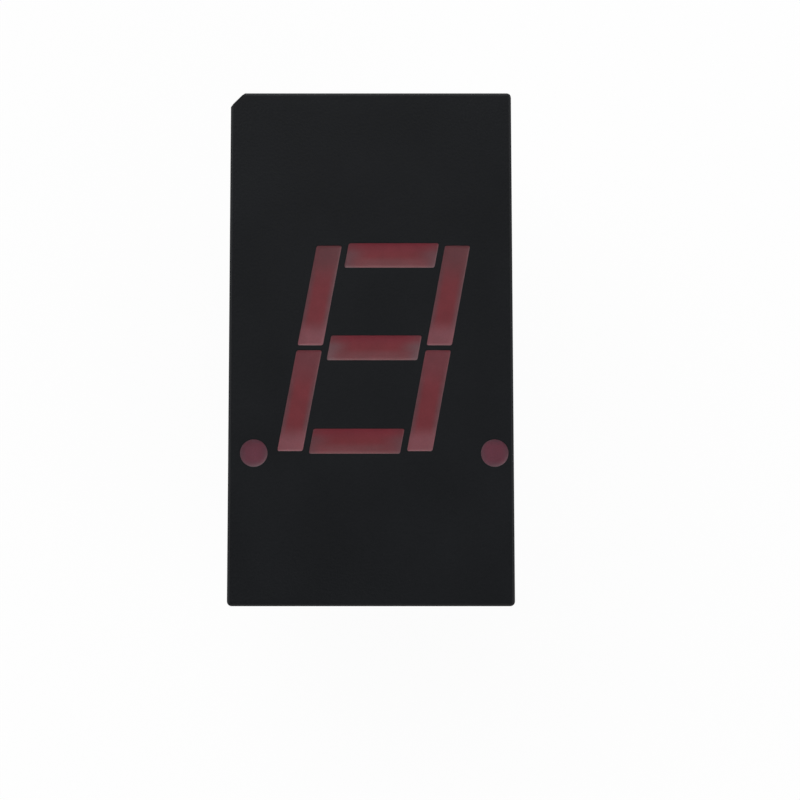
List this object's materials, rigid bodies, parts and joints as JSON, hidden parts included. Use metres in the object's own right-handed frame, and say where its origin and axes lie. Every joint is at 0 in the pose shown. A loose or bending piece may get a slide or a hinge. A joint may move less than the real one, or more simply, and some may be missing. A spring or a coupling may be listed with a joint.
{
  "type": "seven segment display",
  "caption": "Single-digit red seven segment display with slanted digit, left and right decimal points, black housing and two rows of through-hole pins.",
  "frame": {"origin": "centre of the seating plane, where the housing's feet meet a board, midway between the two rows of pins", "axes": "+Z out of the face, +Y towards the top of the digit, +X to the right of the digit; the pins run along -Z"},
  "size_m": [0.0104, 0.019, 0.0105],
  "materials": {
    "black_plastic": "moulded, matt black",
    "red_epoxy": "cast, diffusing red epoxy, satin",
    "board_laminate": "glass epoxy laminate",
    "copper": "plated copper foil",
    "chip_crystal": "sawn crystal chip",
    "gold_wire": "drawn gold wire",
    "solder": "bright solder",
    "tinned_pin": "tinned, satin",
    "potting_epoxy": "cast epoxy, self-levelled"
  },
  "bodies": {
    "root": {"housing": "black_plastic", "segment_a": "red_epoxy", "segment_b": "red_epoxy", "segment_c": "red_epoxy", "segment_d": "red_epoxy", "segment_e": "red_epoxy", "segment_f": "red_epoxy", "segment_g": "red_epoxy", "decimal_point_left": "red_epoxy", "decimal_point_right": "red_epoxy", "circuit_board": "board_laminate", "front_copper": "copper", "back_copper": "copper", "chip_a": "chip_crystal", "chip_b": "chip_crystal", "chip_c": "chip_crystal", "chip_d": "chip_crystal", "chip_e": "chip_crystal", "chip_f": "chip_crystal", "chip_g": "chip_crystal", "chip_left": "chip_crystal", "chip_right": "chip_crystal", "bond_wire_a": "gold_wire", "bond_wire_b": "gold_wire", "bond_wire_c": "gold_wire", "bond_wire_d": "gold_wire", "bond_wire_e": "gold_wire", "bond_wire_f": "gold_wire", "bond_wire_g": "gold_wire", "bond_wire_left": "gold_wire", "bond_wire_right": "gold_wire", "solder_joints": "solder", "potting": "potting_epoxy", "pin_1": "tinned_pin", "pin_2": "tinned_pin", "pin_3": "tinned_pin", "pin_6": "tinned_pin", "pin_7": "tinned_pin", "pin_8": "tinned_pin", "pin_9": "tinned_pin", "pin_10": "tinned_pin", "pin_11": "tinned_pin", "pin_13": "tinned_pin", "pin_14": "tinned_pin"}
  },
  "joints": []
}
